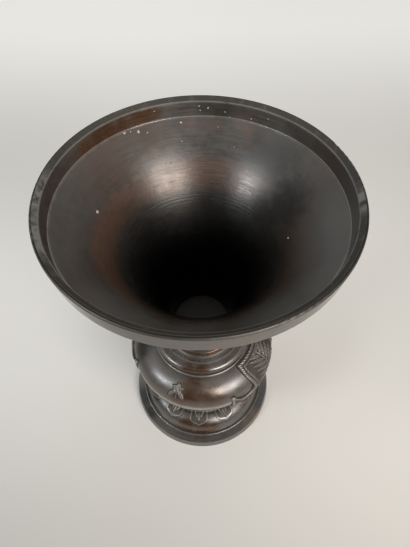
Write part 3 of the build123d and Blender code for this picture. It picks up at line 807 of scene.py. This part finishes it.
def relief_mesh(name, points, normals, height, depth, back, level):
    """Mesh of a relief over a grid, cut along the line where depth is zero, with a skirt to its back.

    Level is a value from 0 to 1 for each grid point, kept on the mesh for its material.
    """
    rows, columns = depth.shape
    step = np.linalg.norm(points[rows // 2, columns // 2 + 1] - points[rows // 2, columns // 2])
    seat = pulled_in(points, depth)
    top = seat + normals * height[..., None]
    low = seat - normals * back
    kept = depth > -0.8 * step
    cells = kept[:-1, :-1] & kept[1:, :-1] & kept[:-1, 1:] & kept[1:, 1:]
    index = {}
    quads = []
    for row, column in zip(*np.nonzero(cells)):
        corners = ((row, column), (row, column + 1), (row + 1, column + 1), (row + 1, column))
        quads.append([index.setdefault(corner, len(index)) for corner in corners])
    used = list(index)
    vertices = [top[corner] for corner in used]
    levels = [level[corner] for corner in used]
    rim = open_sides(quads)
    skirt = {}
    for corner in sorted({corner for side in rim for corner in side}):
        skirt[corner] = len(vertices)
        vertices.append(low[used[corner]])
        levels.append(0.0)
    for first, second in rim:
        quads.append([second, first, skirt[first], skirt[second]])
    mesh = bpy.data.meshes.new(name)
    mesh.from_pydata(np.array(vertices).tolist(), [], quads)
    mesh.validate()
    mesh.polygons.foreach_set("use_smooth", [True] * len(mesh.polygons))
    mesh.attributes.new("relief", "FLOAT", "POINT").data.foreach_set("value", levels)
    mesh.update()
    return mesh


def add_piece(name, mesh, material, turn=0.0, node=None):
    """Put a mesh in the scene, turned round the vase's axis, on the vase's body."""
    piece = bpy.data.objects.new(name, mesh)
    bpy.context.scene.collection.objects.link(piece)
    piece.rotation_euler = (0, 0, turn)
    if not mesh.materials:
        mesh.materials.append(material)
    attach(piece, "root")
    if node:
        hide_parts(node)


# Outline of the bulb from its shoulder down, with the distance along it
turn_angles = np.linspace(pi / 2, -pi / 2, BULB_POINTS)
upper = turn_angles >= 0
bulb_hub = np.where(upper, SHOULDER_RADIUS, BELLY_RADIUS)
bulb_rise = np.where(upper, SHOULDER_RISE, BELLY_DROP)
bulb_radius = bulb_hub + (BULB_RADIUS - bulb_hub) * np.cos(turn_angles)
bulb_height = WIDEST + bulb_rise * np.sin(turn_angles)
bulb_lean = np.arctan2(np.sin(turn_angles) / bulb_rise, np.cos(turn_angles) / (BULB_RADIUS - bulb_hub))
bulb_length = np.concatenate([[0], np.cumsum(np.hypot(np.diff(bulb_radius), np.diff(bulb_height)))])


def along_bulb(height):
    """Distance down the bulb's outline at a height."""
    return np.interp(-np.asarray(height), -bulb_height, bulb_length)


def bulb_surface(across, along):
    """Points and normals on the side of the bulb that faces +X."""
    radius = np.interp(along, bulb_length, bulb_radius)
    height = np.interp(along, bulb_length, bulb_height)
    lean = np.interp(along, bulb_length, bulb_lean)
    depth = np.sqrt(np.maximum(radius ** 2 - across ** 2, 0))
    points = np.stack([depth, across, height], -1)
    normals = np.stack([np.cos(lean) * depth / radius, np.cos(lean) * across / radius, np.sin(lean)], -1)
    return points, normals


# Panels
def panel_outline():
    """Half outline of a panel on the bulb, as (across, along): its strap and hook, and its lobe."""
    lobe_foot = WIDEST - LOBE_DROP
    horn_level = WIDEST + HORN_RISE
    cusp = (STRAP_HALF, WIDEST + CUSP_RISE)
    horn = (LOBE_HALF - HORN_WIDTH, horn_level)
    spread = np.array((cos(STRAP_ANGLE), sin(STRAP_ANGLE)))
    pull = spread * (PANEL_TOP_RADIUS + STRAP_PULL)
    plan = bezier(spread * PANEL_TOP_RADIUS, pull, (pull[0], STRAP_HALF), (STRAP_TURN, STRAP_HALF))
    strap = np.stack([plan[:, 1], np.interp(np.hypot(*plan.T), bulb_radius[upper], bulb_length[upper])], -1)
    hook = bezier(cusp, (STRAP_HALF * 1.2, WIDEST - HOOK_DIP), (horn[0], WIDEST), horn)
    flank = bezier((LOBE_HALF, horn_level), (LOBE_HALF, WIDEST - HORN_RISE), (LOBE_HALF, lobe_foot),
                   (LOBE_FOOT_HALF, lobe_foot))
    point = bezier((LOBE_FOOT_HALF, lobe_foot), (LOBE_FOOT_HALF * 0.77, lobe_foot),
                   (LOBE_FOOT_HALF * 0.32, lobe_foot), (0, WIDEST - LOBE_TIP_DROP))
    hook[:, 1] = along_bulb(hook[:, 1])
    lobe = np.vstack([flank, point])
    lobe[:, 1] = along_bulb(lobe[:, 1])
    return np.vstack([strap, hook]), lobe


def panel_foliage(across, along, top, end):
    """Hatched ground, a rib with paired leaves, blades fanning over the lobes and a palmette at the tip."""
    side = np.abs(across)
    hatch = 0.5 + 0.5 * np.cos(2 * pi * (along + side * 0.9) / HATCH_PITCH)
    rib = np.exp(-(side / RIB_HALF) ** 2) * smooth(along - top, *RIB_START)
    foliage = np.maximum(0.35 * hatch * smooth(along - top, *HATCH_START), 0.75 * rib)
    for pair in range(LEAF_PAIRS):
        base = (LEAF_SIDE, top + LEAF_START + LEAF_PITCH * pair)
        bearing = LEAF_BEARING + LEAF_SWEEP * pair
        length = LEAF_LENGTH + LEAF_GROWTH * pair
        foliage = np.maximum(foliage, leaf(side, along, base, bearing, length, LEAF_WIDTH))
    for blade in range(BLADE_COUNT):
        base = (BLADE_SIDE, end - BLADE_RISE)
        bearing = BLADE_BEARING + BLADE_SWEEP * blade
        length = BLADE_LENGTH - BLADE_LOSS * blade
        foliage = np.maximum(foliage, leaf(side, along, base, bearing, length, BLADE_WIDTH, BLADE_VEINS))
    for spread in (-PALMETTE_SPREAD, 0, PALMETTE_SPREAD):
        base = (0.0, end - PALMETTE_RISE)
        bearing = pi / 2 + spread
        foliage = np.maximum(foliage, leaf(across, along, base, bearing, PALMETTE_LENGTH, PALMETTE_WIDTH))
    return foliage


def panel_border(side, along, depth):
    """Notched strip along the edge, pearls inside it, and the field that they leave for the foliage.

    Notches and pearls are on the strap alone.
    """
    strap = smooth(side, *STRAP_SIDE) * smooth(along, along_bulb(WIDEST), along_bulb(WIDEST + STRAP_RISE))
    strip_half = STRIP_HALF + STRIP_EXTRA * strap
    notches = 0.5 + 0.5 * np.cos(2 * pi * (along + side * 0.8) / NOTCH_PITCH)
    strip = dome((depth - strip_half) / strip_half) * (1 - 0.35 * notches * strap)
    beading = 0.7 + 0.3 * np.cos(2 * pi * (along - side * 0.4) / PEARL_PITCH)
    pearls = dome((depth - PEARL_DEPTH) / PEARL_RADIUS) * strap * beading
    field = smooth(depth, *LOBE_FIELD) * (1 - strap) + smooth(depth, *STRAP_FIELD) * strap
    return strip, pearls, field


def panel_mesh():
    """Raised cartouche: a border, a ball at each horn and a field of chased leaves."""
    edge, lobe = panel_outline()
    half = np.vstack([edge, lobe])
    top, end = half[0, 1], half[-1, 1]
    reach = LOBE_HALF + 2 * PANEL_STEP
    across, along = grid(
        (-reach, reach + PANEL_STEP), (top - PANEL_STEP, end + 2 * PANEL_STEP), PANEL_STEP)
    side = np.abs(across)
    from_ball = np.hypot(side - LOBE_HALF + BALL_RADIUS, along - along_bulb(WIDEST + HORN_RISE))
    depth = np.maximum(depth_inside(across, along, mirrored(half)), BALL_RADIUS - from_ball)
    strip, pearls, field = panel_border(side, along, depth)
    foliage = field * panel_foliage(across, along, top, end)
    ball = dome(from_ball / BALL_RADIUS)

    # Low at the ends of the lobes, where the ball stands up
    ends = 1 - 0.5 * smooth(side, *LOBE_END)
    carving = np.maximum(foliage * 0.95, pearls * 0.8) * MM
    height = (PANEL_FIELD + (PANEL_BORDER - PANEL_FIELD) * strip + carving) * ends
    height = np.maximum(height, ball * PANEL_BORDER * 0.8)
    level = np.maximum(np.maximum(strip * 1.02, pearls * 0.95), np.maximum(foliage, ball * 1.2))
    points, normals = bulb_surface(across, along)
    return relief_mesh("panel_relief", points, normals, height, depth, PANEL_BACK, np.clip(level, 0, 1))


def bead_mesh():
    """Fine bead on the bulb that follows the strap and the hook of a panel."""
    edge, lobe = panel_outline()
    across, along = grid((-LOBE_HALF, LOBE_HALF), (edge[0, 1], edge[:, 1].max()), BEAD_STEP)
    side = np.abs(across)
    outline = np.vstack([edge, lobe, [(0, edge[0, 1])]])
    outside = (depth_inside(side, along, outline) < 0) & (side < edge[-1, 0])
    away = np.abs(path_distance(side, along, edge) - BEAD_GAP)
    depth = np.where(outside, BEAD_RADIUS - away, -BEAD_RADIUS)
    height = np.sqrt(np.clip(BEAD_RADIUS ** 2 - away ** 2, 0, None)) * 0.8
    points, normals = bulb_surface(across, along)
    return relief_mesh("panel_bead", points, normals, height, depth, BEAD_BACK, np.full(depth.shape, 0.85))


panel = panel_mesh()
add_piece("cartouche_right", panel, relief_bronze, node="panel_right")
add_piece("cartouche_left", panel, relief_bronze, turn=pi, node="panel_left")
panel_bead = bead_mesh()
add_piece("cartouche_bead_right", panel_bead, relief_bronze)
add_piece("cartouche_bead_left", panel_bead, relief_bronze, turn=pi)


# Sprigs
def sprig_mesh():
    """Five-petalled blossom with a boss and two leaves on a low ground, facing +X until it is placed."""
    middle = along_bulb(WIDEST + SPRIG_RISE)
    across, along = grid(
        (-SPRIG_HALF, SPRIG_HALF), (middle - SPRIG_ABOVE, middle + SPRIG_BELOW), SPRIG_STEP)
    bloom = dome(np.hypot(across, along - middle) / BOSS_RADIUS)
    for petal in range(PETAL_COUNT):
        bearing = 2 * pi * petal / PETAL_COUNT - pi / 2
        base = (PETAL_START * cos(bearing), middle + PETAL_START * sin(bearing))
        shape = leaf(across, along, base, bearing, PETAL_LENGTH, PETAL_WIDTH, PETAL_VEINS)
        bloom = np.maximum(bloom, shape)
    for spread in (-SPRIG_LEAF_SPREAD, SPRIG_LEAF_SPREAD):
        bearing = pi / 2 + spread
        base = (SPRIG_LEAF_START * cos(bearing), middle + SPRIG_LEAF_START * sin(bearing))
        bloom = np.maximum(bloom, leaf(across, along, base, bearing, SPRIG_LEAF_LENGTH, SPRIG_LEAF_WIDTH))
    stalk = bezier(*(np.array(STALK) + (0, middle)))
    bloom = np.maximum(bloom, 0.6 * np.exp(-(path_distance(across, along, stalk) / STALK_HALF) ** 2))
    ground = np.where(bloom > 0.2, 1.0, 0.0)
    for _ in range(SPRIG_GROUND_SPREAD):
        near = np.pad(ground, 1)
        ground = (near[:-2, 1:-1] + near[2:, 1:-1] + near[1:-1, :-2] + near[1:-1, 2:] + ground) / 2.5
        ground = np.minimum(ground, 1)
    points, normals = bulb_surface(across, along)
    height = SPRIG_GROUND + bloom * SPRIG_RELIEF
    return relief_mesh("sprig_relief", points, normals, height, (ground - 0.5) * MM, SPRIG_BACK, bloom)


sprig = sprig_mesh()
add_piece("blossom_front", sprig, relief_bronze, turn=-pi / 2, node="sprig_front")
add_piece("blossom_back", sprig, relief_bronze, turn=pi / 2, node="sprig_back")


# Lappets
def foot_surface(x, y):
    """Points and normals on the cushion and stem of the foot, seen from above."""
    radius = np.hypot(x, y)
    out = radius - STEM_RADIUS
    cushion = np.sqrt(np.clip(CUSHION_ROUND ** 2 - out ** 2, 0, None))
    drop = WAIST_FOOT - CUSHION_FOOT - CUSHION_ROUND
    hollow = np.sqrt(np.clip(1 - (out / STEM_SPREAD) ** 2, 0, None))
    on_cushion = out >= 0
    height = np.where(on_cushion, CUSHION_FOOT + cushion, WAIST_FOOT - drop * hollow)
    steep = np.where(
        on_cushion, out / np.maximum(cushion, 1e-6),
        -drop * out / STEM_SPREAD ** 2 / np.maximum(hollow, 0.05))
    lean = np.arctan2(1, steep)
    points = np.stack([x, y, height], -1)
    normals = np.stack([np.cos(lean) * x / radius, np.cos(lean) * y / radius, np.sin(lean)], -1)
    return points, normals


def lappet_mesh():
    """Face of a lappet: a light rib round a dark field with three bars."""
    reach = LAPPET_HALF + 2 * LAPPET_STEP
    x, y = grid(
        (-reach, reach), (-LAPPET_TIP - 2 * LAPPET_STEP, -LAPPET_ROOT + 2 * LAPPET_STEP), LAPPET_STEP)
    point = bezier(
        (LAPPET_HALF, -LAPPET_SIDE),
        (LAPPET_HALF * 1.05, -LAPPET_SIDE - LAPPET_PULL),
        (LAPPET_HALF * 0.3, -LAPPET_SIDE - LAPPET_PUSH),
        (0, -LAPPET_TIP))
    depth = depth_inside(x, y, mirrored(np.vstack([[(LAPPET_ROOT_HALF, -LAPPET_ROOT)], point])))
    rib = dome((depth - LAPPET_RIB_DEPTH) / LAPPET_RIB_HALF)
    bars = np.zeros(x.shape)
    for bar in LAPPET_BARS:
        bars = np.maximum(bars, np.exp(-(path_distance(x, y, bar) / LAPPET_BAR_HALF) ** 2))
    inside = smooth(depth, LAPPET_FIELD_FROM, LAPPET_FIELD_TO)
    border = LAPPET_RELIEF * (0.92 + 0.1 * rib)
    field = LAPPET_FLOOR + bars * LAPPET_BAR_RISE
    height = border * (1 - inside) + field * inside + LAPPET_SKIN
    level = 0.15 + 0.73 * np.clip(np.maximum(rib, inside * bars), 0, 1)
    points, normals = foot_surface(x, y)
    return relief_mesh("lappet_relief", points, normals, height, depth, 0.0, level)


lappet = lappet_mesh()
for number in range(LAPPET_COUNT):
    lappet_turn = LAPPET_TURN + number * 2 * pi / LAPPET_COUNT
    add_piece(f"lappet_carving_{number + 1:02d}", lappet, relief_bronze, turn=lappet_turn)


# Deposits in the funnel
def speck(name, column, row, size, material, seed):
    """Low crust with a ragged edge, where the photograph shows it."""
    point, normal = seen_on("mouth_trumpet", column, row)
    basis = normal.to_track_quat("Z", "Y").to_matrix()
    ragged = 1 + SPECK_RAGGED * np.random.default_rng(seed).standard_normal(SPECK_SPOKES)
    vertices = []
    for ring, height in SPECK_RINGS:
        for spoke in range(SPECK_SPOKES):
            angle = 2 * pi * spoke / SPECK_SPOKES
            reach = size * ring * max(ragged[spoke], SPECK_LEAST)
            vertices.append(point + basis @ Vector((reach * cos(angle), reach * sin(angle), size * height)))
    crown = len(vertices)
    vertices.append(point + basis @ Vector((0, 0, size * SPECK_CROWN)))
    faces = []
    for spoke in range(SPECK_SPOKES):
        following = (spoke + 1) % SPECK_SPOKES
        for low in range(0, crown - SPECK_SPOKES, SPECK_SPOKES):
            high = low + SPECK_SPOKES
            faces.append((low + spoke, low + following, high + following, high + spoke))
        faces.append((crown - SPECK_SPOKES + spoke, crown - SPECK_SPOKES + following, crown))
    mesh = bpy.data.meshes.new(name)
    mesh.from_pydata(vertices, [], faces)
    mesh.polygons.foreach_set("use_smooth", [True] * len(mesh.polygons))
    add_piece(name, mesh, material)


lime = grainy("lime_crust", LIME_TONES, scale=2500.0, roughness=0.8, metallic=0.0)
dark_crust = grainy("dark_crust", CRUST_TONES, scale=2500.0, roughness=0.7, metallic=0.0)
for number, (column, row, size) in enumerate(PALE_SPECKS):
    speck(f"speck_pale_{number + 1:02d}", column, row, size * MM, lime, number)
for number, (column, row, size) in enumerate(DARK_SPECKS):
    speck(f"speck_dark_{number + 1:02d}", column, row, size * MM, dark_crust, DARK_SEED + number)


# Floor: pale paper, painted darker in front and on the right as painted shade, with a painted glow behind
# the vase
def paper():
    """Matt paper, painted darker at the front and right as painted shade, whose far end glows a little as
    painted light where it is looked at or mirrored.
    """
    graph = Graph(bpy.data.materials.new("floor_paper"))
    place = graph.make("ShaderNodeTexCoord").outputs["Object"]
    far = graph.dot(place, (-sin(VIEW_TURN), cos(VIEW_TURN), 0))
    right = graph.dot(place, (cos(VIEW_TURN), sin(VIEW_TURN), 0))
    grain = graph.noise(place, scale=700.0, detail=3.0)
    # Painted shade: darker towards the front and on the right
    back = graph.mix(graph.ramp(right, -0.2, 0.2), LEFT_PAPER, RIGHT_PAPER_SHADE)
    tone = graph.mix(graph.ramp(graph.math("MULTIPLY_ADD", right, 0.15, far), -0.2, 0.0), FRONT_PAPER_SHADE, back)
    rays = graph.make("ShaderNodeLightPath").outputs
    looked_at = graph.most(rays["Is Camera Ray"], rays["Is Glossy Ray"])
    looked_at = graph.most(looked_at, rays["Is Transmission Ray"])
    # Painted light: the far end glows where it is looked at or mirrored
    glow = graph.plus(graph.ramp(far, -0.05, 0.2, 0.0, 0.155), graph.ramp(far, 0.3, 0.8, 0.0, 0.27))
    return graph.surface({
        "Base Color": graph.mix(graph.ramp(grain, 0.3, 0.7, 0.0, 0.03), tone, PAPER_GRAIN),
        "Roughness": 0.9, "Normal": graph.bump(grain, strength=0.1, distance=0.1 * MM),
        "Emission Color": PAPER_PAINTED_GLOW, "Emission Strength": graph.times(glow, looked_at),
    })


floor_mesh = bpy.data.meshes.new("floor")
floor_corners = [(x * FLOOR_HALF, y * FLOOR_HALF, 0) for x, y in ((-1, -1), (1, -1), (1, 1), (-1, 1))]
floor_mesh.from_pydata(floor_corners, [], [(0, 1, 2, 3)])
floor_mesh.materials.append(paper())
floor = bpy.data.objects.new("floor", floor_mesh)
bpy.context.scene.collection.objects.link(floor)


# Light: two soft boxes at the front corners and a room that is brightest overhead
def soft_box(name, bearing, size, radiance, tint):
    """Square lamp at a bearing round the vase, aimed at its middle."""
    target = Vector((0, 0, (cad_box[0][2] + cad_box[1][2]) / 2))
    data = bpy.data.lights.new(name, "AREA")
    data.size = size
    data.energy = radiance * pi * size ** 2
    data.color = tint
    lamp = bpy.data.objects.new(name, data)
    lamp.location = (LAMP_REACH * cos(bearing), LAMP_REACH * sin(bearing), LAMP_HEIGHT)
    lamp.rotation_euler = (lamp.location - target).to_track_quat("Z", "Y").to_euler()
    bpy.context.scene.collection.objects.link(lamp)


def room_light():
    """World that is brightest overhead and dimmer in front of the vase."""
    graph = Graph(bpy.data.worlds.new("room"))
    sight = graph.make("ShaderNodeTexCoord").outputs["Generated"]
    climb = graph.most(graph.make("ShaderNodeSeparateXYZ", {0: sight}).outputs[2], 0.0)
    glow = graph.math("MULTIPLY_ADD", graph.math("POWER", climb, 3.0), ROOM_OVERHEAD, ROOM_SIDES)
    for bearing, rise, reach, share in DIM_SIDES:
        toward = (cos(bearing) * cos(rise), sin(bearing) * cos(rise), sin(rise))
        shade = graph.ramp(graph.dot(sight, toward), cos(reach), cos(reach * 0.4), 1.0, share)
        glow = graph.times(glow, shade)
    backdrop = graph.make("ShaderNodeBackground", {"Color": ROOM_TINT, "Strength": glow})
    graph.make("ShaderNodeOutputWorld", {"Surface": backdrop.outputs[0]})
    return graph.owner


soft_box("lamp_cool", bearing=radians(-125.2), size=0.12, radiance=14.6, tint=(0.93, 0.97, 1.0))
soft_box("lamp_warm", bearing=radians(-32.8), size=0.25, radiance=8.9, tint=(1.0, 0.925, 0.85))
bpy.context.scene.world = room_light()
bpy.context.scene.view_settings.view_transform = "Standard"
